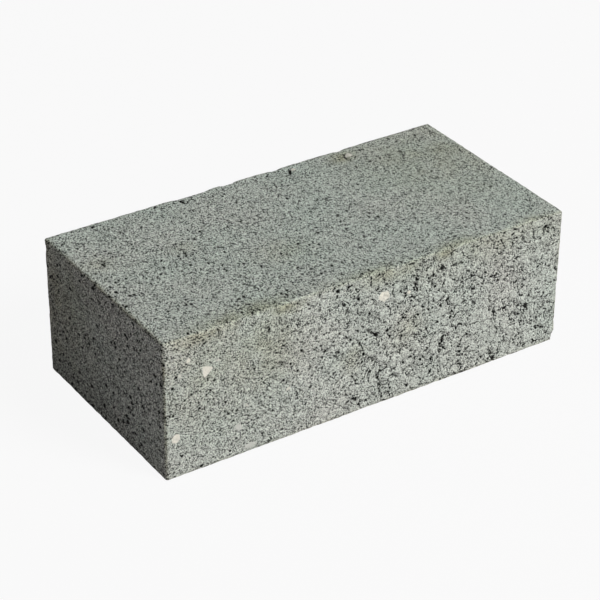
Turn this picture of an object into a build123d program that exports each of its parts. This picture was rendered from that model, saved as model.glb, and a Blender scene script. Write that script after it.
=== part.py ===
"""Solid concrete brick, pressed in a steel mould from a semi-dry mix of cement, sand and gravel.

The brick lies on its bed face as it is laid in a wall: length along X, width along Y, +Z up.
The origin is the centre of the lower bed face. All sizes are in millimetres.
"""

from build123d import *

import os
from dataclasses import dataclass
from math import sqrt

# Overall size of the nine inch format
LENGTH = 230.0
WIDTH = 115.0
HEIGHT = 76.0

# Radius of the arrises made in the mould's corners and under its press head
MOULD_ARRIS_RADIUS = 1.5

# Radius of the arrises made on the pallet, round the lower bed face
PALLET_ARRIS_RADIUS = 0.8

PARTS_FOLDER = "parts"


@dataclass(frozen=True)
class Chip:
    """A shallow shell-shaped flake that has broken off an arris.

    place is where its middle lies, measured along the arris from that arris's middle.
    length is measured along the sharp arris, and depth squarely in from it.
    """

    place: float
    length: float
    depth: float

    @property
    def radius(self) -> float:
        """Radius of the ball that has this length as its chord and this depth as its rise."""
        return (self.length**2 / 4 + self.depth**2) / (2 * self.depth)


# Flakes off the long arris at the back of the upper bed face, from left to right
BACK_ARRIS_CHIPS = (
    Chip(place=-77.0, length=15.0, depth=1.2),
    Chip(place=-33.0, length=36.0, depth=1.8),
    Chip(place=-11.5, length=12.0, depth=2.0),
    Chip(place=16.5, length=12.0, depth=1.6),
    Chip(place=56.0, length=12.0, depth=1.5),
)

# Flake high on the left upright arris at the back
LEFT_BACK_CHIP = Chip(place=32.5, length=10.0, depth=1.5)

# Flake at the foot of the right upright arris in front, and three nicks above it
RIGHT_FRONT_CHIPS = (
    Chip(place=-36.5, length=10.0, depth=2.2),
    Chip(place=-26.5, length=5.0, depth=1.5),
    Chip(place=-9.5, length=3.6, depth=1.4),
    Chip(place=-5.5, length=4.0, depth=1.5),
)


def moulded_block() -> Part:
    """The whole block with its twelve arrises eased, the ones on the pallet less than the rest."""
    block = Box(LENGTH, WIDTH, HEIGHT, align=(Align.CENTER, Align.CENTER, Align.MIN))
    mould_arrises = block.edges().filter_by(Axis.Z) + block.faces().sort_by(Axis.Z)[-1].edges()
    block = fillet(mould_arrises, MOULD_ARRIS_RADIUS)
    return fillet(block.faces().sort_by(Axis.Z)[0].edges(), PALLET_ARRIS_RADIUS)


def flake(chip: Chip, arris_middle: Vector, along: Vector, outward: Vector) -> Part:
    """The ball that takes one chip off an arris; its centre lies outside, on the arris's bisector."""
    centre = arris_middle + along * chip.place + outward * (chip.radius - chip.depth)
    return Pos(centre) * Sphere(chip.radius)


def broken_flakes() -> list[Part]:
    """Every flake that has come off the brick, each seated on its own arris."""
    bisector = 1 / sqrt(2)
    along_x, along_z = Vector(1, 0, 0), Vector(0, 0, 1)
    back_arris = Vector(0, WIDTH / 2, HEIGHT)
    left_back_arris = Vector(-LENGTH / 2, WIDTH / 2, HEIGHT / 2)
    right_front_arris = Vector(LENGTH / 2, -WIDTH / 2, HEIGHT / 2)
    up_and_back = Vector(0, bisector, bisector)
    left_and_back = Vector(-bisector, bisector, 0)
    right_and_front = Vector(bisector, -bisector, 0)
    return [
        *(flake(chip, back_arris, along_x, up_and_back) for chip in BACK_ARRIS_CHIPS),
        flake(LEFT_BACK_CHIP, left_back_arris, along_z, left_and_back),
        *(flake(chip, right_front_arris, along_z, right_and_front) for chip in RIGHT_FRONT_CHIPS),
    ]


def concrete_brick() -> Part:
    """The brick as one solid: the moulded block less the flakes that have broken off it."""
    brick = moulded_block() - broken_flakes()
    brick.label = "concrete_brick"
    return brick


def main() -> None:
    """Builds the brick, writes it as one STEP file and prints its size."""
    os.makedirs(PARTS_FOLDER, exist_ok=True)
    brick = concrete_brick()
    export_step(brick, os.path.join(PARTS_FOLDER, "concrete_brick.step"))
    print("concrete_brick", len(brick.solids()), "solid", round(brick.volume), "mm3", brick.bounding_box().size)


if __name__ == "__main__":
    main()
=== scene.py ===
"""Solid concrete brick: its worn and grainy surface, its finish, and the studio that it is shown in.

Lengths are millimetres in the brick's own frame: length along X, width along Y, +Z up, with the origin
at the centre of the lower bed face. Only the finished meshes and the studio are placed in metres.
"""

import logging
from collections.abc import Iterable, Mapping
from dataclasses import dataclass
from enum import Enum, IntEnum
from itertools import pairwise, product
from math import cos, pi, radians, sin, sqrt
from typing import Any

import bmesh
import bpy
import numpy as np
from mathutils import Matrix, Vector


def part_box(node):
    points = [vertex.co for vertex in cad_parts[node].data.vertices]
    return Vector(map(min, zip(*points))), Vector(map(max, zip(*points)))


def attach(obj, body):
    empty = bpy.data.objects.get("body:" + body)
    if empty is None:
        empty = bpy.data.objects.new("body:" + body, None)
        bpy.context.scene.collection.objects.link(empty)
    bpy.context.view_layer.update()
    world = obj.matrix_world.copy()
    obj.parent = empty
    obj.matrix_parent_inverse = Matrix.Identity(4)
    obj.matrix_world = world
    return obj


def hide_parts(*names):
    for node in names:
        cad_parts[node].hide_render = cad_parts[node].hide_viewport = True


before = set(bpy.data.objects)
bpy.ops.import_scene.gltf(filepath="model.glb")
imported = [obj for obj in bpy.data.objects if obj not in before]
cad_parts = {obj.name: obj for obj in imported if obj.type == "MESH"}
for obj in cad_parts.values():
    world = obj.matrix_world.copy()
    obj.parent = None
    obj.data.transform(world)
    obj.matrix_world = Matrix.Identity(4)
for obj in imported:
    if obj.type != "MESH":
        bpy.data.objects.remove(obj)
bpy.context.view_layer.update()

NODE = "concrete_brick"
BODY = "root"
SLOT = "concrete"
PIECE = "brick_skin"
MILLIMETRE = 0.001

Array = np.ndarray
Colour = tuple[float, float, float]
Spot = tuple[float, float]
Span = tuple[float, float]

WHITE: Colour = (1.0, 1.0, 1.0)

# The middle of a number that runs from 0 to 1, and the mean of its square
MIDDLE = 0.5
MEAN_SQUARE = 1.0 / 3.0

# A turn of 60 degrees about a cube's diagonal, so that the noise's cells don't line up with the faces
DIAGONAL_TURN = np.array([[2.0, -1.0, 2.0], [2.0, 2.0, -1.0], [-1.0, 2.0, 2.0]]) / 3.0

# Odd numbers and shifts that stir a cell's coordinates, the seed and the salt into a random number
CELL_FACTORS = np.array([0x8DA6B343, 0xD8163841, 0xCB1AB31F], dtype=np.uint32)
SEED_FACTOR = 0x9E3779B1
SALT_FACTOR = 0x85EBCA77
STIRS = ((15, 0x2C1B3C6D), (12, 0x297A2D39))
LAST_SHIFT = 15
WORD = 2**32

# How many layers of noise lie on each other in a layered one
LAYERS = 3

# Square of a length so short that it counts as a single spot
SHORTEST = 1e-9

log = logging.getLogger("brick")


def smooth_step(low: float, high: float, values: Array) -> Array:
    """Rises from 0 at low to 1 at high along 3t^2 - 2t^3, where t is the share of the way between them.

    Args:
        low: Value at which the result is 0.
        high: Value at which the result is 1; it may be the smaller of the two.
        values: Numbers to place between them.

    Returns:
        One number from 0 to 1 for each value.
    """
    share = np.clip((values - low) / (high - low), 0.0, 1.0)
    return share * share * (3.0 - 2.0 * share)


def bell(values: Array, reach: float) -> Array:
    """The bell curve exp(-(v / reach)^2), which is 1 at 0 and fades over the reach."""
    return np.exp(-((values / reach) ** 2))


def unit(vectors: Array) -> Array:
    """Each row brought to a length of 1."""
    return vectors / np.linalg.norm(vectors, axis=-1, keepdims=True)


class Salt(IntEnum):
    """Which of the independent noises each feature of the surface follows.

    A feature takes up to four of them, from its own number on.
    """

    COARSE = 11
    WARM = 15
    PIT_BEND = 20
    HOLLOW_BEND = 30
    STAIN = 41
    GRAVEL = 50
    GRIT = 55
    PITS = 60
    WAVER = 70
    SAND = 73
    CRUMBS = 76
    FINE_CRUMBS = 79


@dataclass(frozen=True)
class SpaceNoise:
    """Repeatable noise in space, worked out for whole arrays of points."""

    seed: int = 7

    def cell_values(self, cells: Array, salt: int) -> Array:
        """Numbers from 0 to 1, one for each whole-numbered cell of space.

        Each coordinate is multiplied by a large odd number of its own, and the sum's bits are stirred.

        Args:
            cells: Whole-numbered cells, three coordinates each.
            salt: Picks one of many independent sets of numbers.

        Returns:
            One number for each cell.
        """
        start = np.uint32((self.seed * SEED_FACTOR + salt * SALT_FACTOR) % WORD)
        products = cells.astype(np.int64).astype(np.uint32) * CELL_FACTORS
        bits = products.sum(axis=-1, dtype=np.uint32) + start
        for shift, factor in STIRS:
            bits = (bits ^ (bits >> np.uint32(shift))) * np.uint32(factor)
        return (bits ^ (bits >> np.uint32(LAST_SHIFT))) / float(WORD)

    def smooth(self, points: Array, size: float, salt: int) -> Array:
        """Soft noise from -1 to 1: random values at the corners of cells, blended smoothly between them.

        The blend along each side of a cell is 6t^5 - 15t^4 + 10t^3, where t is the share of the way.

        Args:
            points: Places in space, three coordinates each.
            size: Side of a cell.
            salt: Picks one of many independent noises.

        Returns:
            One number for each point.
        """
        places = points @ DIAGONAL_TURN / size
        corners = np.floor(places)
        part = places - corners
        blend = part**3 * (part * (part * 6.0 - 15.0) + 10.0)
        total = np.zeros(len(points))
        for step in product((0, 1), repeat=3):
            weight = np.prod(np.where(np.array(step) == 1, blend, 1.0 - blend), axis=-1)
            total += weight * self.cell_values(corners + np.array(step), salt)
        return 2.0 * total - 1.0

    def layered(self, points: Array, size: float, salt: int) -> Array:
        """Layers of soft noise, each half as large and half as strong as the one before, from -1 to 1.

        Args:
            points: Places in space, three coordinates each.
            size: Side of the largest layer's cells.
            salt: Picks the first of the layers' noises.

        Returns:
            One number for each point.
        """
        shares = 0.5 ** np.arange(LAYERS)
        layers = [share * self.smooth(points, size * share, salt + n) for n, share in enumerate(shares)]
        return sum(layers) / shares.sum()

    def scattered(self, points: Array, size: float, salt: int) -> tuple[Array, Array, Array]:
        """Distances to the two nearest of the spots that are strewn one to a cell.

        Args:
            points: Places in space, three coordinates each.
            size: Side of a cell, so about the space between spots.
            salt: Picks one of many independent sets of spots.

        Returns:
            Distance to the nearest spot, distance to the second, and a number from 0 to 1 that
            belongs to the nearest one.
        """
        points = points @ DIAGONAL_TURN
        cells = np.floor(points / size)
        nearest = np.full(len(points), np.inf)
        second = np.full(len(points), np.inf)
        owner = np.zeros(len(points))
        for step in product((-1, 0, 1), repeat=3):
            cell = cells + np.array(step)
            shift = np.stack([self.cell_values(cell, salt + n) for n in range(3)], axis=-1)
            distance = np.linalg.norm((cell + shift) * size - points, axis=-1)
            closer = distance < nearest
            second = np.where(closer, nearest, np.minimum(second, distance))
            owner = np.where(closer, self.cell_values(cell, salt + 3), owner)
            nearest = np.where(closer, distance, nearest)
        return nearest, second, owner


NOISE = SpaceNoise()


@dataclass(frozen=True)
class Drift:
    """A change over the surface: its strength, the size of its patches and the noise that it follows."""

    strength: float
    size: float
    salt: Salt

    def smooth(self, points: Array) -> Array:
        """The change at each point, from soft noise."""
        return self.strength * NOISE.smooth(points, self.size, self.salt)

    def layered(self, points: Array) -> Array:
        """The change at each point, from layered noise."""
        return self.strength * NOISE.layered(points, self.size, self.salt)

    def moved(self, places: Array, points: Array) -> Array:
        """Moves places about by soft noise, one noise for each of their coordinates.

        Args:
            places: What to move, with two or three coordinates each.
            points: Where each of them is in space.

        Returns:
            The moved places.
        """
        ways = range(places.shape[-1])
        moves = [NOISE.smooth(points, self.size, self.salt + n) for n in ways]
        return places + self.strength * np.stack(moves, axis=-1)


class Face(Enum):
    """A face of the brick: its outward direction, and the ways across and down it seen from outside."""

    UPPER_BED = ((0, 0, 1), (1, 0, 0), (0, -1, 0))
    LOWER_BED = ((0, 0, -1), (1, 0, 0), (0, 1, 0))
    FRONT = ((0, -1, 0), (1, 0, 0), (0, 0, -1))
    BACK = ((0, 1, 0), (-1, 0, 0), (0, 0, -1))
    LEFT_END = ((-1, 0, 0), (0, -1, 0), (0, 0, -1))
    RIGHT_END = ((1, 0, 0), (0, 1, 0), (0, 0, -1))

    @property
    def outward(self) -> Array:
        """The direction that the face looks in."""
        return np.array(self.value[0], dtype=float)

    @property
    def across(self) -> Array:
        """The direction from the face's left side to its right."""
        return np.array(self.value[1], dtype=float)

    @property
    def down(self) -> Array:
        """The direction from the face's far or upper side to its near or lower one."""
        return np.array(self.value[2], dtype=float)


class Arris(Enum):
    """An arris, named by the side of the brick that it is on along X, Y and Z; 0 is the way it runs."""

    BACK_UPPER = (0, 1, 1)
    LEFT_BACK = (-1, 1, 0)
    RIGHT_FRONT = (1, -1, 0)

    @property
    def outward(self) -> Array:
        """The direction out of the brick that halves the angle between the two faces."""
        return np.array(self.value) / sqrt(2.0)

    @property
    def along(self) -> Array:
        """The direction that the arris runs in."""
        return 1.0 - np.abs(self.value)


@dataclass(frozen=True)
class Chip:
    """A shell-shaped flake that is missing from an arris.

    place is where its middle lies, measured along the arris from that arris's middle. length is measured
    along the sharp arris, and depth squarely in from it.
    """

    arris: Arris
    place: float
    length: float
    depth: float

    @property
    def radius(self) -> float:
        """Radius of the ball that has this length as its chord and this depth as its rise."""
        return (self.length**2 / 4.0 + self.depth**2) / (2.0 * self.depth)


@dataclass(frozen=True)
class Stone:
    """A pale stone cut through at a face: its middle, size and corners, and how far it is turned."""

    middle: Spot
    size: Span
    corners: int = 5
    turn: float = 0.0
    paleness: float = 1.0
    roundness: float = 0.1

    def distance(self, places: Array) -> Array:
        """Distance outside the stone's outline, less than 0 inside it.

        The outline is a regular polygon blended with a circle, turned and then stretched to its size.

        Args:
            places: Places on the face, measured across and down it.

        Returns:
            One distance for each place.
        """
        angle = radians(self.turn)
        across, down = (places - np.array(self.middle)).T
        right = (across * cos(angle) + down * sin(angle)) / (self.size[0] / 2.0)
        below = (down * cos(angle) - across * sin(angle)) / (self.size[1] / 2.0)
        sector = 2.0 * pi / self.corners
        bearing = np.mod(np.arctan2(below, right), sector) - sector / 2.0
        polygon = cos(sector / 2.0) / np.cos(bearing)
        outline = self.roundness + (1.0 - self.roundness) * polygon
        return (np.hypot(right, below) / outline - 1.0) * sum(self.size) / 4.0


@dataclass(frozen=True)
class Hollow:
    """A crevice along a few spots of a face, or a pit where there is one spot."""

    spots: tuple[Spot, ...]
    width: float

    def distance(self, places: Array) -> Array:
        """Distance outside the hollow's rim: that to its middle line, less half its width.

        Args:
            places: Places on the face, measured across and down it.

        Returns:
            One distance for each place, less than 0 inside the hollow.
        """
        runs = list(pairwise(self.spots)) or [self.spots * 2]
        nearest = np.full(len(places), np.inf)
        for start, stop in runs:
            way = places - np.array(start)
            run = np.array(stop) - np.array(start)
            share = np.clip(way @ run / max(run @ run, SHORTEST), 0.0, 1.0)
            nearest = np.minimum(nearest, np.linalg.norm(way - share[:, None] * run, axis=-1))
        return nearest - self.width / 2.0


@dataclass(frozen=True)
class StainAndShade:
    """An olive-brown bloom on a face that fades away from its middle; two of them are partly painted shade.
    """

    middle: Spot
    size: Span
    strength: float

    def amount(self, places: Array) -> Array:
        """The stain's strength at places across and down its face: a bell curve over its size."""
        share = (places - np.array(self.middle)) / (np.array(self.size) / 2.0)
        return self.strength * np.exp(-(share**2).sum(axis=-1))


@dataclass(frozen=True)
class FaceMarks:
    """The stones, hollows, and stains with their painted shade, of one face, placed across and down it."""

    stones: tuple[Stone, ...] = ()
    hollows: tuple[Hollow, ...] = ()
    stains_and_shade: tuple[StainAndShade, ...] = ()


@dataclass(frozen=True)
class FaceLook:
    """How a face came out of the mould.

    coarse runs from 0 to 1, porous is a factor on the pores, and warm is the share of the warmer grey.
    The gains are added towards the face's right, between the two places across it that change names.
    """

    coarse: float
    porous: float
    warm: float
    coarse_gain: float = 0.0
    porous_gain: float = 0.0
    change: Span = (0.0, 1.0)


FACE_LOOKS = {
    Face.UPPER_BED: FaceLook(0.1, 1.25, 0.25, porous_gain=-0.18, change=(40.0, 190.0)),
    Face.LOWER_BED: FaceLook(0.3, 1.15, 0.5),
    Face.FRONT: FaceLook(0.35, 1.2, 0.6, coarse_gain=0.65, change=(35.0, 120.0)),
    Face.BACK: FaceLook(0.7, 1.2, 0.6),
    Face.LEFT_END: FaceLook(0.25, 2.0, 0.75),
    Face.RIGHT_END: FaceLook(0.35, 1.25, 0.6),
}

CHIPS = (
    Chip(Arris.BACK_UPPER, place=-77.0, length=15.0, depth=1.2),
    Chip(Arris.BACK_UPPER, place=-33.0, length=36.0, depth=1.8),
    Chip(Arris.BACK_UPPER, place=-11.5, length=12.0, depth=2.0),
    Chip(Arris.BACK_UPPER, place=16.5, length=12.0, depth=1.6),
    Chip(Arris.BACK_UPPER, place=56.0, length=12.0, depth=1.5),
    Chip(Arris.LEFT_BACK, place=32.5, length=10.0, depth=1.5),
    Chip(Arris.RIGHT_FRONT, place=-36.5, length=10.0, depth=2.2),
    Chip(Arris.RIGHT_FRONT, place=-26.5, length=5.0, depth=1.5),
    Chip(Arris.RIGHT_FRONT, place=-9.5, length=3.6, depth=1.4),
    Chip(Arris.RIGHT_FRONT, place=-5.5, length=4.0, depth=1.5),
)

FRONT_MARKS = FaceMarks(
    stones=(
        Stone((121.8, 14.5), (7.4, 6.2), corners=5, turn=20.0),
        Stone((22.9, 21.9), (8.2, 7.6), corners=3, turn=107.0),
        Stone((5.8, 53.4), (5.0, 5.6), corners=6, turn=15.0),
        Stone((13.4, 13.2), (2.6, 3.4), corners=4, turn=30.0),
        Stone((29.2, 18.3), (4.6, 1.3), corners=4, turn=4.0, paleness=0.7),
        Stone((8.6, 19.9), (2.2, 2.4), paleness=0.6),
        Stone((136.6, 17.2), (2.3, 2.2)),
        Stone((67.5, 47.8), (3.2, 2.0), turn=-15.0, paleness=0.8),
        Stone((39.6, 59.4), (5.4, 3.4), corners=6, turn=40.0, paleness=0.35),
        Stone((44.4, 48.6), (2.6, 1.8), paleness=0.5),
        Stone((46.0, 72.1), (8.0, 3.2), corners=6, paleness=0.3),
    ),
    hollows=(
        Hollow(((86.0, 30.4), (89.0, 35.0)), 1.3),
        Hollow(((114.0, 31.9), (118.5, 36.0)), 1.9),
        Hollow(((108.0, 20.3), (109.5, 25.3)), 1.2),
        Hollow(((143.0, 31.4), (140.5, 35.5)), 1.6),
        Hollow(((134.5, 14.2), (135.0, 20.3), (142.5, 21.8)), 1.3),
        Hollow(((137.0, 8.1), (141.0, 10.6), (141.5, 20.3)), 1.0),
        Hollow(((147.5, 12.2), (151.5, 19.8)), 0.9),
        Hollow(((109.0, 40.5), (112.0, 48.6)), 1.2),
        Hollow(((115.5, 47.6), (118.5, 51.7)), 1.1),
        Hollow(((119.5, 57.8), (120.0, 63.8), (121.0, 69.9)), 1.2),
        Hollow(((127.0, 61.8), (131.5, 62.8)), 1.4),
        Hollow(((126.5, 71.4),), 1.8),
        Hollow(((151.0, 59.3), (153.5, 63.8)), 1.2),
        Hollow(((153.5, 66.4), (151.0, 68.9)), 1.3),
        Hollow(((162.0, 8.6), (165.0, 11.1)), 1.4),
        Hollow(((160.5, 15.7), (162.5, 18.2), (166.0, 20.3)), 1.3),
        Hollow(((169.0, 19.8), (168.0, 21.8)), 1.0),
        Hollow(((169.6, 24.8), (169.4, 27.9)), 1.0),
        Hollow(((160.5, 29.4), (163.0, 37.0), (162.0, 40.5)), 1.4),
        Hollow(((173.0, 28.9), (177.5, 31.4), (174.0, 35.5)), 0.9),
        Hollow(((187.5, 12.7), (189.0, 17.2)), 1.1),
        Hollow(((191.0, 22.3), (193.0, 26.3), (189.0, 29.4)), 0.9),
        Hollow(((188.0, 35.0), (190.0, 38.0)), 1.1),
        Hollow(((187.0, 39.0), (187.0, 44.6)), 1.1),
        Hollow(((190.2, 43.6), (190.0, 50.2)), 1.0),
        Hollow(((158.5, 48.1), (157.0, 54.2), (160.0, 57.8)), 1.6),
        Hollow(((203.5, 22.3), (206.0, 25.3)), 1.1),
        Hollow(((196.0, 21.3), (201.0, 24.3)), 0.8),
        Hollow(((218.0, 6.1), (218.0, 9.1)), 1.1),
        Hollow(((202.0, 32.4), (202.3, 37.5)), 0.9),
        Hollow(((196.5, 63.3), (198.0, 67.4)), 1.3),
        Hollow(((216.5, 62.8), (219.0, 65.4), (221.5, 64.9)), 1.1),
        Hollow(((187.5, 67.9), (191.0, 75.0)), 1.5),
        Hollow(((167.0, 69.4), (170.0, 70.9)), 1.0),
        Hollow(((70.5, 11.1), (73.0, 14.2)), 0.9),
        Hollow(((60.5, 31.9),), 1.5),
        Hollow(((23.0, 26.7),), 1.5),
        Hollow(((46.0, 15.7), (45.6, 19.8)), 0.8),
        Hollow(((31.5, 46.1), (34.5, 50.2)), 0.9),
    ),
    stains_and_shade=(
        StainAndShade((26.0, 20.0), (80.0, 60.0), 0.4),
        StainAndShade((52.0, 20.3), (46.0, 44.0), 0.55),
        StainAndShade((22.0, 2.0), (50.0, 16.0), 0.8),
        StainAndShade((68.0, 1.0), (24.0, 12.0), 0.9),
        StainAndShade((128.0, 1.0), (40.0, 14.0), 0.8),
        StainAndShade((158.0, 1.0), (18.0, 12.0), 0.9),
        StainAndShade((185.0, 3.0), (110.0, 26.0), 0.42),
        StainAndShade((105.0, 43.6), (14.0, 14.0), 0.5),
        StainAndShade((136.0, 38.5), (20.0, 20.0), 0.4),
    ),
)

UPPER_BED_MARKS = FaceMarks(
    stones=(
        Stone((172.9, 8.6), (4.2, 4.6), turn=10.0, paleness=0.75),
        Stone((140.2, 6.6), (3.2, 3.0), paleness=0.75),
    ),
    hollows=(
        Hollow(((12.5, 36.5), (12.6, 39.0)), 2.0),
        Hollow(((50.4, 49.0), (48.8, 52.5)), 1.8),
        Hollow(((75.0, 4.5), (76.0, 7.5)), 1.9),
        Hollow(((89.0, 7.5),), 1.6),
        Hollow(((138.5, 6.0), (137.0, 8.8)), 1.8),
        Hollow(((171.0, 7.0), (170.4, 11.0)), 1.8),
        Hollow(((224.0, 8.0), (224.3, 13.0)), 1.4),
        Hollow(((195.5, 40.0), (193.5, 42.0)), 1.2),
        Hollow(((180.5, 30.5), (179.0, 34.5)), 1.2),
        Hollow(((128.8, 71.5),), 1.5),
        Hollow(((154.0, 49.5), (153.5, 53.5)), 1.0),
        Hollow(((58.5, 17.0),), 1.5),
        Hollow(((215.5, 7.5),), 1.4),
    ),
    stains_and_shade=(
        StainAndShade((44.0, 113.0), (50.0, 14.0), 1.0),
        StainAndShade((112.0, 114.0), (46.0, 10.0), 0.8),
        StainAndShade((165.0, 114.0), (26.0, 10.0), 0.9),
        StainAndShade((212.0, 114.0), (20.0, 8.0), 0.8),
        StainAndShade((52.5, 45.0), (12.0, 10.0), 0.4),
        StainAndShade((169.0, 9.0), (18.0, 12.0), 1.0),
        # Olive stain and painted shade: the top darker towards its right back corner
        StainAndShade((210.0, 30.0), (80.0, 90.0), 0.5),
        StainAndShade((10.0, 38.0), (16.0, 12.0), 0.6),
        StainAndShade((92.0, 74.0), (26.0, 20.0), 0.4),
    ),
)

FACE_MARKS = {
    Face.FRONT: FRONT_MARKS,
    Face.UPPER_BED: UPPER_BED_MARKS,
    # Brown stain and painted shade: the left end darker towards its back edge
    Face.LEFT_END: FaceMarks(stains_and_shade=(StainAndShade((0.0, 30.0), (90.0, 110.0), 0.6),)),
}


class Mark(Enum):
    """What the brick's mesh carries for its finish, vertex by vertex."""

    COARSE = "coarse"
    POROUS = "porous"
    WARM = "warm"
    HOLLOW = "hollow"
    STONE = "stone"
    PALENESS = "paleness"
    STAIN = "stain"


class Signal:
    """A value on its way through a material. Its operators add Math nodes and give what comes out."""

    def __init__(self, graph: "NodeGraph", socket: bpy.types.NodeSocket) -> None:
        """Wraps one socket of a node in graph."""
        self.graph = graph
        self.socket = socket

    def math(self, operation: str, *values: "Signal | float") -> "Signal":
        """Adds a Math node of that operation on the values, in order."""
        return self.graph.node("ShaderNodeMath", {"operation": operation}, dict(enumerate(values)))

    def __add__(self, other: "Signal | float") -> "Signal":
        """This value plus the other."""
        return self.math("ADD", self, other)

    __radd__ = __add__

    def __sub__(self, other: "Signal | float") -> "Signal":
        """This value less the other."""
        return self.math("SUBTRACT", self, other)

    def __rsub__(self, other: "Signal | float") -> "Signal":
        """The other value less this one."""
        return self.math("SUBTRACT", other, self)

    def __mul__(self, other: "Signal | float") -> "Signal":
        """This value times the other."""
        return self.math("MULTIPLY", self, other)

    __rmul__ = __mul__

    def __pow__(self, other: "Signal | float") -> "Signal":
        """This value to the power of the other."""
        return self.math("POWER", self, other)

    def largest(self, other: "Signal | float") -> "Signal":
        """The larger of this value and the other."""
        return self.math("MAXIMUM", self, other)

    def step(self, low: "Signal | float", high: "Signal | float") -> "Signal":
        """Rises smoothly from 0 where this value is low to 1 where it is high."""
        sockets = {"Value": self, "From Min": low, "From Max": high}
        return self.graph.node("ShaderNodeMapRange", {"interpolation_type": "SMOOTHSTEP"}, sockets)

    def output(self, name: str) -> "Signal":
        """Another output of the node that this value comes from."""
        return Signal(self.graph, self.socket.node.outputs[name])


class NodeGraph:
    """The nodes of one material, or of the sky."""

    def __init__(self, owner: bpy.types.Material | bpy.types.World) -> None:
        """Clears the owner's nodes.

        Args:
            owner: The material or world that the nodes belong to.
        """
        owner.use_nodes = True
        self.owner = owner
        self.tree = owner.node_tree
        self.tree.nodes.clear()

    def node(
        self,
        kind: str,
        settings: Mapping[str, Any] | None = None,
        sockets: Mapping[str | int, Any] | None = None,
        output: str | int = 0,
    ) -> Signal:
        """Adds one node.

        Args:
            kind: Blender's name for the type of node.
            settings: Properties of the node, which are set before its sockets.
            sockets: Input sockets by name or number, each with a plain value or a signal to link.
            output: Which output to hand back.

        Returns:
            The signal from that output, or from the first input where the node has no output.
        """
        made = self.tree.nodes.new(kind)
        for name, value in (settings or {}).items():
            setattr(made, name, value)
        for name, value in (sockets or {}).items():
            if isinstance(value, Signal):
                self.tree.links.new(value.socket, made.inputs[name])
            else:
                made.inputs[name].default_value = value
        return Signal(self, made.outputs[output] if made.outputs else made.inputs[0])

    def position(self) -> Signal:
        """The place on the piece, in millimetres of its own frame."""
        sockets = {0: self.node("ShaderNodeTexCoord", output="Object"), "Scale": 1.0 / MILLIMETRE}
        return self.node("ShaderNodeVectorMath", {"operation": "SCALE"}, sockets)

    def attribute(self, name: str) -> Signal:
        """A number that the mesh carries for each of its vertices."""
        return self.node("ShaderNodeAttribute", {"attribute_name": name}, output="Fac")

    def noise(self, place: Signal, size: float, detail: float = 1.0) -> Signal:
        """Soft noise from 0 to 1 with lumps of about that size."""
        sockets = {"Vector": place, "Scale": 1.0 / size, "Detail": detail}
        return self.node("ShaderNodeTexNoise", {"noise_dimensions": "3D"}, sockets, "Fac")

    def grains(self, place: Signal, size: float, feature: str = "F1") -> Signal:
        """Packed grains of about that size: the distance to a middle or an edge, as a share of it."""
        sockets = {"Vector": place, "Scale": 1.0 / size}
        return self.node("ShaderNodeTexVoronoi", {"feature": feature}, sockets, "Distance")

    def number(self, grains: Signal) -> Signal:
        """A random number from 0 to 1 for each of the grains."""
        return self.node("ShaderNodeSeparateColor", None, {"Color": grains.output("Color")}, "Red")

    def shifted(self, place: Signal, noise: Signal, reach: float) -> Signal:
        """The place moved about by a noise's colour, over up to that reach in all."""
        sockets = {0: noise.output("Color"), 1: (reach, reach, reach), 2: place}
        return self.node("ShaderNodeVectorMath", {"operation": "MULTIPLY_ADD"}, sockets)

    def mix(self, share: Signal | float, first: Any, second: Any, blend: str = "MIX") -> Signal:
        """Blends two colours.

        Args:
            share: From 0, all of the first colour, to 1, the whole effect of the second.
            first: A colour, or a signal.
            second: A colour, or a signal.
            blend: Blender's name for the way to blend them.

        Returns:
            The colour that comes out.
        """
        settings = {"data_type": "RGBA", "blend_type": blend, "clamp_factor": True}
        sockets = {0: share, 6: self.colour(first), 7: self.colour(second)}
        return self.node("ShaderNodeMix", settings, sockets, 2)

    @staticmethod
    def colour(value: Any) -> Any:
        """A plain colour with the alpha that a socket wants, or a signal as it is."""
        return value if isinstance(value, Signal) else (*value, 1.0)


@dataclass(frozen=True)
class Texture:
    """The patterns that the concrete's colour and height are made from, each from 0 to about 1."""

    sand: Signal
    number: Signal
    body: Signal
    gap: Signal
    hollow: Signal
    stone: Signal
    pores: Signal
    pits: Signal


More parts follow.
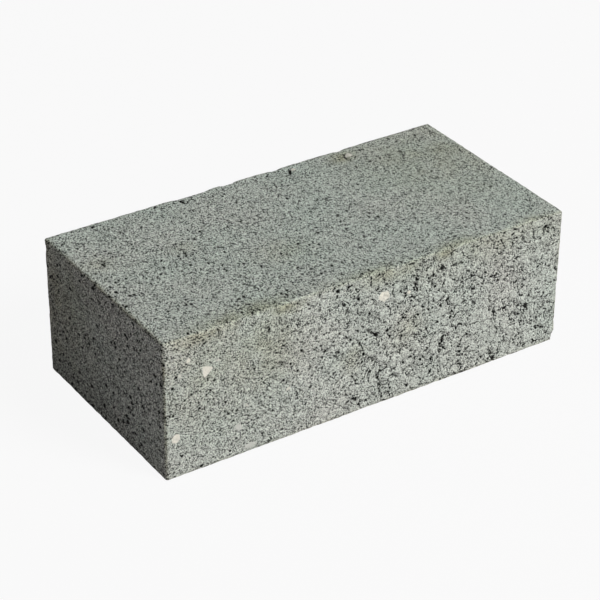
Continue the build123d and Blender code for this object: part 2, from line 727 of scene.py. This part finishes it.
@dataclass(frozen=True)
class ConcreteFinish:
    """Pressed concrete: grey paste on sand and gravel, with pale stones, olive bloom, and painted shade in
    its pores, pits and crevices.
    """

    # Colours and shine
    clean_paste: Colour = (0.445, 0.499, 0.444)
    warm_paste: Colour = (0.486, 0.495, 0.45)
    pale_stone: Colour = (0.78, 0.76, 0.66)
    dull_stone: Colour = (0.50, 0.52, 0.49)
    # Olive-brown bloom, also the colour of the painted shade patches on the top and the left end
    bloom_and_shade: Colour = (0.70, 0.66, 0.52)
    # Painted shade: the near-black colour laid in pores, pits, crevices and gaps, where their shadow falls
    shade: Colour = (0.01, 0.01, 0.009)
    roughness: float = 0.92
    specular: float = 0.08

    # Sand, and the fine noise that makes every rim ragged
    # Pores, pits and sand come out 1/stretch times as long along Y; on the pores and pits that length is
    # painted shadow, laid the way the lamp's shadows fall
    stretch: float = 0.85
    sand_size: float = 0.34
    sand_contrast: float = 1.75
    sand_height: float = 0.12
    rough_size: float = 1.1
    ragged: float = 0.28

    # Pale stones: how much the sand shows at their rims and on them, and how much smoother they are
    stone_grain: float = 0.15
    stone_rim: float = 0.06
    stone_speckle: float = 0.25
    stone_flat: float = 0.8
    stone_shine: float = 0.15

    # Pores and pits: a random number to this power makes the wide ones rare
    rarity: float = 8.0
    pore_size: float = 0.68
    pore_least: float = 0.1
    pore_most: float = 0.55
    pore_depth: float = 0.2
    pore_rim: float = 0.05
    pit_size: float = 2.0
    pit_most: float = 0.75
    pit_depth: float = 0.3

    # How the pores crowd together
    near_size: float = 5.0
    wide_size: float = 16.0
    crowd_near: float = 0.15
    crowd_coarse: float = 0.2
    crowd_wide: float = 0.1

    # Gravel under its coat of paste
    bend_size: float = 2.6
    bend_detail: float = 2.0
    bend: float = 1.8
    gravel_size: float = 6.0
    gravel_height: float = 0.35
    # Painted highlight: the paste on the raised coated stones is drawn this share lighter
    gravel_highlight: float = 0.08
    gravel_cover: float = 0.5
    gravel_calm: float = 0.25
    gravel_edge: Span = (0.2, 1.2)
    gravel_chance: Span = (0.3, 0.5)

    # Gaps beside the gravel, and the crevices and pits that the mesh carries
    gap_size: float = 2.6
    gap_share: float = 0.51
    gap_fade: float = 0.1
    gap_rough: float = 1.2
    gap_width: float = 0.36
    gap_rim: float = 0.15
    gap_depth: float = 0.8
    hollow_grain: float = 0.4
    hollow_rough: float = 4.0
    hollow_edge: Span = (-0.15, -0.45)

    def material(self) -> bpy.types.Material:
        """Builds the material from the brick's own frame and the numbers that its mesh carries.

        Returns:
            The finished material.
        """
        graph = NodeGraph(bpy.data.materials.new(SLOT))
        marks = {mark: graph.attribute(mark.value) for mark in Mark}
        texture = self.texture(graph, marks)
        bump = {"Strength": 1.0, "Distance": MILLIMETRE, "Height": self.height(texture)}
        sockets = {
            "Base Color": self.colour(graph, marks, texture),
            "Roughness": self.roughness - self.stone_shine * texture.stone,
            "Normal": graph.node("ShaderNodeBump", None, bump),
            "Specular IOR Level": self.specular,
        }
        shader = graph.node("ShaderNodeBsdfPrincipled", None, sockets, "BSDF")
        graph.node("ShaderNodeOutputMaterial", None, {"Surface": shader})
        return graph.owner

    def texture(self, graph: NodeGraph, marks: Mapping[Mark, Signal]) -> Texture:
        """Lays out the sand, gravel, pores and pits, and reads the hollows and stones off the mesh.

        Args:
            graph: The material's nodes.
            marks: What the mesh carries.

        Returns:
            The patterns.
        """
        place = graph.position()
        # The place squeezed along Y: pores and pits come out longer along Y as painted shadow, and the sand
        # grains with them
        stretched = {0: place, 1: (1.0, self.stretch, 1.0)}
        long_way = graph.node("ShaderNodeVectorMath", {"operation": "MULTIPLY"}, stretched)
        sand = graph.grains(long_way, self.sand_size)
        number = graph.number(sand)
        grain = number - MIDDLE
        rough = graph.noise(place, self.rough_size)
        ripple = rough - MIDDLE
        body, gap = self.gravel(graph, place, marks[Mark.COARSE], ripple)
        rim = marks[Mark.HOLLOW] + self.hollow_grain * grain + self.hollow_rough * ripple
        stone = marks[Mark.STONE] + self.stone_grain * grain
        crowd = marks[Mark.POROUS] * self.crowding(graph, place, marks[Mark.COARSE], body)
        ragged = graph.shifted(long_way, rough, self.ragged)
        return Texture(
            sand=sand,
            number=number,
            body=body,
            gap=gap,
            hollow=rim.step(*self.hollow_edge),
            stone=stone.step(self.stone_rim, -self.stone_rim),
            pores=self.strewn(graph, ragged, self.pore_size, crowd, self.pore_least, self.pore_most),
            pits=self.strewn(graph, ragged, self.pit_size, crowd, 0.0, self.pit_most),
        )

    def colour(self, graph: NodeGraph, marks: Mapping[Mark, Signal], texture: Texture) -> Signal:
        """Speckled paste with its bloom and painted shade patches, then the pale stones, and painted shade
        in the openings over both.

        Args:
            graph: The material's nodes.
            marks: What the mesh carries.
            texture: The patterns.

        Returns:
            The surface's colour.
        """
        speckle = self.sand_contrast * (MEAN_SQUARE - texture.number * texture.number)
        speckle = marks[Mark.POROUS] * (1.0 - self.gravel_calm * texture.body) * speckle
        # The tone carries the painted highlight on the coated stones
        tone = (1.0 + speckle) * (1.0 + self.gravel_highlight * texture.body)
        paste = graph.mix(marks[Mark.WARM], self.clean_paste, self.warm_paste)
        paste = graph.mix(1.0, paste, tone, "MULTIPLY")
        # Bloom, with its painted shade patches, darkens the paste
        paste = graph.mix(marks[Mark.STAIN], paste, self.bloom_and_shade, "MULTIPLY")
        pebble = graph.mix(marks[Mark.PALENESS], self.dull_stone, self.pale_stone)
        grain = 1.0 + self.stone_speckle * (texture.number - MIDDLE)
        pebble = graph.mix(1.0, pebble, grain, "MULTIPLY")
        # Painted shade: pores, pits, crevices and gaps are darkened to the shade colour, except on the pale
        # stones
        painted_shade = texture.pores.largest(texture.pits).largest(texture.hollow).largest(texture.gap)
        skin = graph.mix(texture.stone, paste, pebble)
        return graph.mix(painted_shade * (1.0 - texture.stone), skin, self.shade)

    def height(self, texture: Texture) -> Signal:
        """Height of the surface in millimetres: sand and gravel stand up, and the openings are cut down.

        Args:
            texture: The patterns.

        Returns:
            The height, for the bump.
        """
        sand = self.sand_height * (1.0 - texture.sand) * (1.0 - self.stone_flat * texture.stone)
        crevices = self.gap_depth * texture.gap.largest(texture.hollow)
        cut = (self.pore_depth * texture.pores).largest(self.pit_depth * texture.pits).largest(crevices)
        return sand + self.gravel_height * texture.body - cut * (1.0 - texture.stone)

    def crowding(self, graph: NodeGraph, place: Signal, coarse: Signal, body: Signal) -> Signal:
        """How large the pores grow: they crowd in patches, and few break through a coated stone.

        Args:
            graph: The material's nodes.
            place: The place on the piece, in millimetres.
            coarse: How coarse the surface is there, from 0 to 1.
            body: 1 on a coated stone.

        Returns:
            A factor of about 1 for the pores' reach.
        """
        near = graph.noise(place, self.near_size) - MIDDLE
        wide = graph.noise(place, self.wide_size) - MIDDLE
        patches = 1.0 + (self.crowd_near + self.crowd_coarse * coarse) * near + self.crowd_wide * wide
        return patches * (1.0 - self.gravel_cover * body)

    def strewn(
        self, graph: NodeGraph, place: Signal, size: float, crowd: Signal, least: float, most: float
    ) -> Signal:
        """Pores strewn one to a cell: many narrow ones, and a few wide ones.

        Args:
            graph: The material's nodes.
            place: The place on the piece, in millimetres, shifted so that the pores aren't round.
            size: Side of a cell, so about the space between pores.
            crowd: Factor on the pores' reach.
            least: Half the width of the narrowest pores, in millimetres.
            most: What is added to that for the widest.

        Returns:
            0 on sound paste, up to 1 in a pore.
        """
        away = graph.grains(place, size)
        reach = crowd * (least + most * graph.number(away) ** self.rarity)
        return (away * size - reach).step(self.pore_rim, -self.pore_rim)

    def gravel(
        self, graph: NodeGraph, place: Signal, coarse: Signal, ripple: Signal
    ) -> tuple[Signal, Signal]:
        """Stones under a coat of paste, and the short gaps that are open beside some of them.

        Args:
            graph: The material's nodes.
            place: The place on the piece, in millimetres.
            coarse: How coarse the surface is there, from 0 to 1.
            ripple: Fine noise about 0 that makes the gaps ragged.

        Returns:
            1 on a coated stone, and up to 1 in a gap.
        """
        bent = graph.shifted(place, graph.noise(place, self.bend_size, self.bend_detail), self.bend)
        coated = graph.number(graph.grains(bent, self.gravel_size)).step(*self.gravel_chance)
        edge = graph.grains(bent, self.gravel_size, "DISTANCE_TO_EDGE") * self.gravel_size
        edge = edge + self.gap_rough * ripple
        body = edge.step(*self.gravel_edge) * coated * coarse
        parted = graph.noise(place, self.gap_size).step(self.gap_share, self.gap_share + self.gap_fade)
        parted = parted * coarse
        width = self.gap_width * parted
        return body, edge.step(width, width - self.gap_rim) * parted


@dataclass
class Skin:
    """The brick's surface while it is worked out: one row for each vertex."""

    points: Array
    normals: Array
    arris_distance: Array
    broken: Array

    def share(self, face: Face) -> Array:
        """How far each vertex belongs to a face: the square of its normal's part along that face."""
        return np.clip(self.normals @ face.outward, 0.0, 1.0) ** 2


@dataclass(frozen=True)
class Lumps:
    """Stones packed under the surface, each at a level of its own, with grooves between them."""

    size: float
    level: float
    groove: float
    width: float
    salt: Salt

    def depth(self, points: Array) -> Array:
        """Depth of each stone's top, and of the grooves, a bell curve about where two stones meet."""
        nearest, second, owner = NOISE.scattered(points, self.size, self.salt)
        return self.level * owner + self.groove * bell(second - nearest, self.width)


@dataclass(frozen=True)
class Pits:
    """Round pits strewn over the surface, wider where it is coarse.

    rarity is the share of spots without a pit. growth is how fast a pit's reach grows with its random
    number, on a fine surface and on a coarse one.
    """

    spacing: float = 5.0
    rarity: float = 0.8
    least: float = 0.1
    growth: Span = (1.0, 2.6)
    no_pit: float = -1.0

    def distance(self, points: Array, coarse: Array) -> Array:
        """Distance outside the pits' rims, less than 0 inside them.

        A pit's reach is the least one, and more the further its random number is past the rarity.

        Args:
            points: Places in space.
            coarse: How coarse the surface is there, from 0 to 1.

        Returns:
            One distance for each place.
        """
        nearest, _, owner = NOISE.scattered(points, self.spacing, Salt.PITS)
        fine, rough = self.growth
        reach = self.least + (owner - self.rarity) * (fine + (rough - fine) * coarse)
        return nearest - np.where(owner > self.rarity, reach, self.no_pit)


@dataclass(frozen=True)
class Relief:
    """How far the surface lies inside the mould's walls, and what takes it there."""

    gravel: Lumps = Lumps(size=6.5, level=0.5, groove=0.5, width=2.0, salt=Salt.GRAVEL)
    grit: Lumps = Lumps(size=3.4, level=0.3, groove=0.3, width=1.2, salt=Salt.GRIT)
    waver: Drift = Drift(0.14, 30.0, Salt.WAVER)
    sand: Drift = Drift(1.0, 2.4, Salt.SAND)
    sand_fine: float = 0.05
    sand_coarse: float = 0.07

    # Wear of the arrises, and how far in from them the lumps and hollows begin
    wear: float = 0.35
    wear_reach: float = 1.8
    crumbs: Drift = Drift(0.1, 7.0, Salt.CRUMBS)
    fine_crumbs: Drift = Drift(0.15, 2.3, Salt.FINE_CRUMBS)
    arris_lumps: float = 0.3
    lumps_clear: Span = (0.5, 4.0)
    hollow_clear: Span = (0.5, 2.5)

    # Depth and slope of the hollows, and how flush the pale stones lie
    hollow_depth: float = 1.1
    hollow_slope: Span = (0.5, -0.7)
    stone_flush: float = 0.8
    stone_rim: Span = (0.3, -0.3)

    # What the mould has pressed flat, and how softly that begins
    pressed_fine: float = 0.2
    pressed_coarse: float = 0.45
    pressed_soft: float = 0.1

    def depth(self, skin: Skin, marks: Mapping[Mark, Array]) -> Array:
        """Adds up what lies inside the mould's walls.

        There are a slow waver, gravel and grit with their grooves, sand, the wear of the arrises and the
        hollows. Pale stones lie flush. Whatever stands above the pressed level is flat: the depth below
        it, d, becomes (d + sqrt(d^2 + soft^2)) / 2, which is about d well below it and 0 well above it.

        Args:
            skin: The skin to wear down.
            marks: What the skin carries.

        Returns:
            One depth for each vertex.
        """
        points, coarse, arris = skin.points, marks[Mark.COARSE], skin.arris_distance
        inner = self.arris_lumps + (1.0 - self.arris_lumps) * smooth_step(*self.lumps_clear, arris)
        lumps = coarse * inner * (self.gravel.depth(points) + self.grit.depth(points))
        waver = self.waver.strength + self.waver.layered(points)
        sand = (self.sand_fine + self.sand_coarse * coarse) * (1.0 + self.sand.smooth(points))
        flush = 1.0 - self.stone_flush * smooth_step(*self.stone_rim, marks[Mark.STONE])
        pressed = self.pressed_fine + self.pressed_coarse * coarse * inner
        below = (waver + lumps + sand) * flush - pressed
        crumbs = self.wear + self.crumbs.layered(points) + self.fine_crumbs.smooth(points)
        wear = np.maximum(crumbs, 0.0) * bell(arris, self.wear_reach)
        hollow = self.hollow_depth * smooth_step(*self.hollow_slope, marks[Mark.HOLLOW])
        hollow = hollow * smooth_step(*self.hollow_clear, arris)
        return (below + np.hypot(below, self.pressed_soft)) / 2.0 + wear + hollow


@dataclass
class ConcreteBrick:
    """The whole brick as one closed skin of six grids that share their seams."""

    low: Array
    high: Array
    mould_radius: float = 1.5
    pallet_radius: float = 0.8
    chip_rim: float = 0.8
    grid: tuple[int, int, int] = (220, 110, 74)
    arris_steps: int = 4
    sliver: float = 0.01
    uv_margin: float = 2.0
    relief: Relief = Relief()

    # How the looks of the faces drift, and what a broken flake shows
    coarse_drift: Drift = Drift(0.15, 24.0, Salt.COARSE)
    warm_drift: Drift = Drift(0.5, 26.0, Salt.WARM)
    broken_coarse: float = 0.5
    broken_porous: float = 0.1

    # Pits and crevices, whose outlines waver, and the distances past which nothing is told apart
    pits: Pits = Pits()
    pit_bend: Drift = Drift(1.1, 3.2, Salt.PIT_BEND)
    hollow_bend: Drift = Drift(0.7, 2.6, Salt.HOLLOW_BEND)
    deepest: float = -2.0
    farthest: float = 4.0
    other_face: float = 8.0

    # Bloom along every arris, and how patchy all bloom and its painted shade are
    arris_stain: float = 0.7
    arris_stain_reach: float = 1.5
    stain_level: float = 0.75
    stain_drift: Drift = Drift(0.6, 9.0, Salt.STAIN)

    def build(self) -> bpy.types.Object:
        """Works the skin out, puts it into a mesh and gives it the finish.

        Returns:
            The finished piece.
        """
        cells, numbers = self.lattice()
        sharp = np.stack([self.lines(axis)[cells[:, axis]] for axis in range(3)], axis=-1)
        skin = self.eased(sharp)
        self.break_flakes(skin)
        marks = self.marks(skin)
        points = skin.points - skin.normals * self.relief.depth(skin, marks)[:, None]
        sheets = {face: self.sheet(numbers, face) for face in Face}
        mesh = self.mesh(points, sheets.values())
        for mark, values in marks.items():
            attribute = mesh.attributes.new(mark.value, "FLOAT", "POINT")
            attribute.data.foreach_set("value", values.astype(np.float32))
        self.unfold(mesh, sharp, sheets)
        self.close_slivers(mesh)
        mesh.materials.append(ConcreteFinish().material())
        piece = bpy.data.objects.new(PIECE, mesh)
        bpy.context.scene.collection.objects.link(piece)
        return piece

    def lines(self, axis: int) -> Array:
        """Places of the grid lines along one axis: close ones over each arris, and even ones between.

        Args:
            axis: 0, 1 or 2 for X, Y or Z.

        Returns:
            The places, from the lowest up.
        """
        low, high = self.low[axis], self.high[axis]
        near = self.mould_radius * np.arange(self.arris_steps) / self.arris_steps
        count = self.grid[axis] - 2 * self.arris_steps + 1
        inner = np.linspace(low + self.mould_radius, high - self.mould_radius, count)
        return np.concatenate([low + near, inner, (high - near)[::-1]])

    def lattice(self) -> tuple[Array, Array]:
        """Numbers the points of a box lattice that lie on its outside.

        Returns:
            The three lattice places of each vertex, and the vertex number at each place, -1 inside.
        """
        shape = tuple(count + 1 for count in self.grid)
        outside = np.ones(shape, dtype=bool)
        outside[1:-1, 1:-1, 1:-1] = False
        cells = np.argwhere(outside)
        numbers = np.full(shape, -1)
        numbers[outside] = np.arange(len(cells))
        return cells, numbers

    @staticmethod
    def sheet(numbers: Array, face: Face) -> Array:
        """The vertex numbers on one face, in rows that run across it and columns that run up it.

        Args:
            numbers: The vertex number at each lattice place.
            face: The face to take.

        Returns:
            The face's own grid of vertex numbers.
        """
        ways = (face.outward, face.across, face.down)
        axis, across, up = (int(np.argmax(np.abs(way))) for way in ways)
        grid = np.take(numbers, -1 if face.outward[axis] > 0 else 0, axis=axis)
        grid = grid if across < up else grid.T
        return grid[:: int(face.across[across]), :: -int(face.down[up])]

    def eased(self, sharp: Array) -> Skin:
        """Rounds the sharp box by moving each point towards an inner box, onto its rounded arris.

        The inner box stands in from the sharp one by the arris radius. Over an arris the way out from the
        inner box is shortened to the radius, so the arris becomes a quarter of a circle, or of an ellipse
        where the pallet's smaller radius meets the mould's.

        Args:
            sharp: Points on the sharp box.

        Returns:
            The skin with its points and outward normals.
        """
        inset_low = np.array([self.mould_radius, self.mould_radius, self.pallet_radius])
        inset = np.where(sharp < (self.low + self.high) / 2.0, inset_low, self.mould_radius)
        inner = np.clip(sharp, self.low + inset_low, self.high - self.mould_radius)
        way = unit((sharp - inner) / inset)
        sides = np.sort(np.minimum(sharp - self.low, self.high - sharp), axis=-1)
        return Skin(inner + way * inset, unit(way / inset), sides[:, 1], np.zeros(len(sharp)))

    def break_flakes(self, skin: Skin) -> None:
        """Breaks each chip out of the skin.

        A chip is the part of the brick inside a ball. Each point in the ball moves into the brick, squarely
        in from the arris, as far as the ball's inner side: from its height over the ball's centre down to
        minus the square root of the radius squared less its distance from the ball's axis squared.

        Args:
            skin: The skin, which is changed.
        """
        centre, half = (self.low + self.high) / 2.0, (self.high - self.low) / 2.0
        for chip in CHIPS:
            outward = chip.arris.outward
            middle = centre + half * np.array(chip.arris.value) + chip.arris.along * chip.place
            way = skin.points - (middle + outward * (chip.radius - chip.depth))
            inside = np.linalg.norm(way, axis=-1) < chip.radius
            way = way[inside]
            height = way @ outward
            sideways = way - height[:, None] * outward
            floor = -np.sqrt(chip.radius**2 - (sideways**2).sum(axis=-1))
            skin.points[inside] += (floor - height)[:, None] * outward
            share = smooth_step(0.0, self.chip_rim, height - floor)[:, None]
            skin.normals[inside] = unit((1.0 - share) * skin.normals[inside] + share * outward)
            skin.broken[inside] = np.maximum(skin.broken[inside], share[:, 0])

    def places(self, skin: Skin, face: Face) -> Array:
        """Where each vertex lies across and down a face, from that face's left and far or upper sides."""
        way = skin.points - np.where(face.across + face.down > 0, self.low, self.high)
        return np.stack([way @ face.across, way @ face.down], axis=-1)

    def looks(self, skin: Skin) -> tuple[Array, Array, Array]:
        """Adds up the faces' looks, each by a vertex's share in its face, and lets them drift.

        Args:
            skin: The skin to dress.

        Returns:
            How coarse, how porous and how warm each vertex is.
        """
        coarse, porous, warm = np.zeros((3, len(skin.points)))
        for face, look in FACE_LOOKS.items():
            share = skin.share(face)
            change = smooth_step(*look.change, self.places(skin, face)[:, 0])
            coarse += share * (look.coarse + look.coarse_gain * change)
            porous += share * (look.porous + look.porous_gain * change)
            warm += share * look.warm
        coarse += self.coarse_drift.layered(skin.points) + self.broken_coarse * skin.broken
        porous += self.broken_porous * skin.broken
        warm += self.warm_drift.layered(skin.points)
        return np.clip(coarse, 0.0, 1.0), porous, np.clip(warm, 0.0, 1.0)

    def marks(self, skin: Skin) -> dict[Mark, Array]:
        """Works out what the skin carries for its finish.

        Args:
            skin: The skin to dress.

        Returns:
            One array for each mark, with one number for each vertex.
        """
        points = skin.points
        coarse, porous, warm = self.looks(skin)
        hollow = self.pits.distance(self.pit_bend.moved(points, points), coarse)
        stone = np.full(len(points), self.farthest)
        paleness = np.zeros(len(points))
        stain = self.arris_stain * bell(skin.arris_distance, self.arris_stain_reach)
        for face, found in FACE_MARKS.items():
            share = skin.share(face)
            away = self.other_face * (1.0 - share)
            places = self.places(skin, face)
            wavering = self.hollow_bend.moved(places, points)
            for crevice in found.hollows:
                hollow = np.minimum(hollow, crevice.distance(wavering) + away)
            for pebble in found.stones:
                distance = pebble.distance(places) + away
                paleness = np.where(distance < stone, pebble.paleness, paleness)
                stone = np.minimum(stone, distance)
            for bloom_and_shade in found.stains_and_shade:
                stain = np.maximum(stain, bloom_and_shade.amount(places) * share)
        stain = stain * (self.stain_level + self.stain_drift.layered(points))
        return {
            Mark.COARSE: coarse,
            Mark.POROUS: porous,
            Mark.WARM: warm,
            Mark.HOLLOW: np.clip(hollow, self.deepest, self.farthest),
            Mark.STONE: stone,
            Mark.PALENESS: paleness,
            Mark.STAIN: np.clip(stain, 0.0, 1.0),
        }

    @staticmethod
    def corners(sheet: Array) -> Array:
        """The four vertex numbers of each cell of a sheet, anticlockwise as seen from outside."""
        around = [sheet[:-1, :-1], sheet[1:, :-1], sheet[1:, 1:], sheet[:-1, 1:]]
        return np.stack(around, axis=-1).reshape(-1, 4)

    def mesh(self, points: Array, sheets: Iterable[Array]) -> bpy.types.Mesh:
        """Puts points, in millimetres, and the four-sided cells of their sheets into a smooth mesh.

        Args:
            points: One row for each vertex.
            sheets: Grids of vertex numbers, each in rows across and columns up as seen from outside.

        Returns:
            The mesh, in metres.
        """
        corners = np.concatenate([self.corners(sheet) for sheet in sheets]).astype(np.int32)
        mesh = bpy.data.meshes.new(PIECE)
        mesh.vertices.add(len(points))
        mesh.vertices.foreach_set("co", (points * MILLIMETRE).astype(np.float32).ravel())
        mesh.loops.add(corners.size)
        mesh.loops.foreach_set("vertex_index", corners.ravel())
        mesh.polygons.add(len(corners))
        mesh.polygons.foreach_set("loop_start", np.arange(0, corners.size, 4, dtype=np.int32))
        mesh.polygons.foreach_set("use_smooth", np.ones(len(corners), dtype=bool))
        mesh.update(calc_edges=True)
        mesh.validate()
        return mesh

    def close_slivers(self, mesh: bpy.types.Mesh) -> None:
        """Joins the vertices that a chip has brought together, so that no cell is left without area.

        Args:
            mesh: The brick's mesh, which is changed.
        """
        work = bmesh.new()
        work.from_mesh(mesh)
        bmesh.ops.dissolve_degenerate(work, dist=self.sliver * MILLIMETRE, edges=work.edges)
        work.to_mesh(mesh)
        work.free()

    def unfold(self, mesh: bpy.types.Mesh, sharp: Array, sheets: Mapping[Face, Array]) -> None:
        """Lays the faces out in a UV map: the beds and long faces in a column, and the ends beside it.

        Args:
            mesh: The brick's mesh, whose polygons follow the order of the sheets.
            sharp: Each vertex's place on the sharp box.
            sheets: Each face's grid of vertex numbers.
        """
        length, width, height = self.high - self.low
        step = self.uv_margin
        lower_bed = 2.0 * (height + step)
        upper_bed = lower_bed + width + step
        places = {
            Face.BACK: (0.0, 0.0),
            Face.FRONT: (0.0, height + step),
            Face.LOWER_BED: (0.0, lower_bed),
            Face.UPPER_BED: (0.0, upper_bed),
            Face.RIGHT_END: (length + step, lower_bed),
            Face.LEFT_END: (length + step, upper_bed),
        }
        whole = np.array([length + step + height, upper_bed + width])
        laid = []
        for face, sheet in sheets.items():
            corner = np.where(face.across - face.down > 0, self.low, self.high)
            flat = np.stack([(sharp - corner) @ face.across, (corner - sharp) @ face.down], axis=-1)
            if face in (Face.LEFT_END, Face.RIGHT_END):
                flat = np.stack([height - flat[:, 1], flat[:, 0]], axis=-1)
            flat = (flat + np.array(places[face])) / whole
            laid.append(flat[self.corners(sheet).ravel()])
        uv = mesh.uv_layers.new(name="OFBake")
        uv.data.foreach_set("uv", np.concatenate(laid).astype(np.float32).ravel())


@dataclass
class Studio:
    """A pale floor, one large soft lamp, an even sky and the camera of the photograph.

    Lengths are metres and angles degrees. The lens and its sensor are in millimetres.
    """

    floor_side: float = 12.0
    floor_colour: Colour = (0.52, 0.5, 0.51)
    floor_white: float = 0.92
    sky_strength: float = 0.143
    sky_colour: Colour = (1.0, 0.98, 1.02)
    lamp_direction: tuple[float, float, float] = (0.346, -0.697, 0.629)
    lamp_distance: float = 4.0
    lamp_side: float = 1.4
    lamp_power: float = 151.0
    azimuth: float = -33.274
    elevation: float = 31.393
    roll: float = 0.345
    distance: float = 1.10489
    lens: float = 132.902
    sensor_width: float = 36.0
    aim_right: float = -0.00305
    aim_up: float = -0.00499

    def build(self, middle: Vector) -> None:
        """Makes the whole studio round the brick.

        Args:
            middle: The middle of the brick's box, in metres.
        """
        bpy.context.scene.view_settings.view_transform = "Standard"
        self.floor()
        self.lamp(middle)
        self.sky()
        self.camera(middle)

    def floor(self) -> None:
        """Lays a square floor that the camera sees nearly white, and that still takes a shadow."""
        half = self.floor_side / 2.0
        corners = [(-half, -half, 0.0), (half, -half, 0.0), (half, half, 0.0), (-half, half, 0.0)]
        mesh = bpy.data.meshes.new("floor")
        mesh.from_pydata(corners, [], [(0, 1, 2, 3)])
        graph = NodeGraph(bpy.data.materials.new("pale_floor"))
        matt = graph.node("ShaderNodeBsdfDiffuse", None, {"Color": graph.colour(self.floor_colour)})
        white = graph.node("ShaderNodeEmission", None, {"Color": graph.colour(WHITE), "Strength": 1.0})
        seen = self.seen(graph) * self.floor_white
        surface = graph.node("ShaderNodeMixShader", None, {0: seen, 1: matt, 2: white})
        graph.node("ShaderNodeOutputMaterial", None, {"Surface": surface})
        mesh.materials.append(graph.owner)
        floor = bpy.data.objects.new("floor", mesh)
        bpy.context.scene.collection.objects.link(floor)

    @staticmethod
    def seen(graph: NodeGraph) -> Signal:
        """1 for what the camera sees, straight or in a reflection, and 0 for light between surfaces."""
        path = graph.node("ShaderNodeLightPath", output="Is Camera Ray")
        return path.largest(path.output("Is Glossy Ray")).largest(path.output("Is Transmission Ray"))

    def lamp(self, middle: Vector) -> None:
        """Hangs the square lamp in its direction from the brick, turned to face it.

        Args:
            middle: The middle of the brick's box, in metres.
        """
        data = bpy.data.lights.new("key_lamp", "AREA")
        data.size = self.lamp_side
        data.energy = self.lamp_power
        lamp = bpy.data.objects.new("key_lamp", data)
        way = Vector(self.lamp_direction).normalized()
        lamp.location = middle + way * self.lamp_distance
        lamp.rotation_euler = way.to_track_quat("Z", "Y").to_euler()
        bpy.context.scene.collection.objects.link(lamp)

    def sky(self) -> None:
        """Sets an even sky that lights the brick weakly and that the camera sees white."""
        world = bpy.data.worlds.new("studio")
        bpy.context.scene.world = world
        graph = NodeGraph(world)
        light = {"Color": graph.colour(self.sky_colour), "Strength": self.sky_strength}
        dim = graph.node("ShaderNodeBackground", None, light)
        white = graph.node("ShaderNodeBackground", None, {"Color": graph.colour(WHITE), "Strength": 1.0})
        surface = graph.node("ShaderNodeMixShader", None, {0: self.seen(graph), 1: dim, 2: white})
        graph.node("ShaderNodeOutputWorld", None, {"Surface": surface})

    def camera(self, middle: Vector) -> None:
        """Places the camera by its bearing, height angle and distance from a spot near the middle.

        Args:
            middle: The middle of the brick's box, in metres.
        """
        turn, rise, roll = radians(self.azimuth), radians(self.elevation), radians(self.roll)
        back = Vector((sin(turn) * cos(rise), -cos(turn) * cos(rise), sin(rise)))
        level = (-back).cross(Vector((0.0, 0.0, 1.0))).normalized()
        plumb = level.cross(-back)
        right = level * cos(roll) + plumb * sin(roll)
        up = plumb * cos(roll) - level * sin(roll)
        data = bpy.data.cameras.new("camera")
        data.sensor_width = self.sensor_width
        data.lens = self.lens
        camera = bpy.data.objects.new("camera", data)
        place = middle + right * self.aim_right + up * self.aim_up + back * self.distance
        camera.matrix_world = Matrix.Translation(place) @ Matrix((right, up, back)).transposed().to_4x4()
        bpy.context.scene.collection.objects.link(camera)
        bpy.context.scene.camera = camera


def main() -> None:
    """Builds the brick and its studio."""
    logging.basicConfig(level=logging.INFO, format="%(message)s")
    low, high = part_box(NODE)
    brick = ConcreteBrick(np.array(low) / MILLIMETRE, np.array(high) / MILLIMETRE)
    piece = brick.build()
    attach(piece, BODY)
    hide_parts(NODE)
    log.info("%s: %d vertices, %d cells", piece.name, len(piece.data.vertices), len(piece.data.polygons))
    Studio().build((Vector(low) + Vector(high)) / 2.0)


if __name__ == "__main__":
    main()
